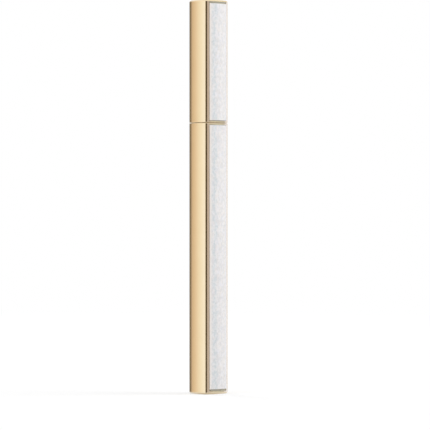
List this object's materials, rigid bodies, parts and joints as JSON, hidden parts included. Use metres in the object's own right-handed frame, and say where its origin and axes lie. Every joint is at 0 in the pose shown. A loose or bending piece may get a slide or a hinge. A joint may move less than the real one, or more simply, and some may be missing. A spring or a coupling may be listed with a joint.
{
  "type": "liquid eyeliner pen",
  "caption": "Slim squarish liquid eyeliner pen with plain gold sides, pearl panels, a pull-off cap, a round neck collar, a flared black nozzle and a pointed brush tip.",
  "frame": {"origin": "the middle of the barrel's base, on the surface that the pen stands on", "axes": "+Z along the pen from the base to the cap's top; X across the plain gold sides; Y across the pearl panels, with the front panel towards -Y"},
  "size_m": [0.011, 0.01, 0.128],
  "materials": {
    "gold": "metallised champagne gold, smooth and glossy",
    "pearl": "pearlescent white with faint pink and blue shimmer",
    "gloss_black": "glossy black moulding",
    "ink_black": "ink-soaked fibres, matt",
    "white_plastic": "white moulding",
    "natural_plastic": "uncoloured polypropylene",
    "rubber": "black rubber",
    "steel": "polished stainless steel"
  },
  "bodies": {
    "barrel": {"barrel_shell": "gold", "barrel_panel_front": "pearl", "barrel_panel_back": "pearl", "tail_plug": "gold", "tank_plug": "natural_plastic", "ink_tank": "natural_plastic", "neck_collar": "gold", "nozzle": "gloss_black", "seal_ring": "rubber", "feed_comb": "white_plastic", "feed_wick": "ink_black", "tip_holder": "gloss_black", "brush_tip": "ink_black"},
    "cap": {"cap_shell": "gold", "cap_panel_front": "pearl", "cap_panel_back": "pearl", "inner_cap": "white_plastic"},
    "mixing_ball": {"mixing_ball": "steel"}
  },
  "joints": [
    {"name": "cap_slide", "type": "slide", "parent": "barrel", "child": "cap", "axis": [0, 0, 1], "range_m": [0, 0.036]},
    {"name": "mixing_ball_slide", "type": "slide", "parent": "barrel", "child": "mixing_ball", "axis": [0, 0, 1], "range_m": [0, 0.048]}
  ]
}
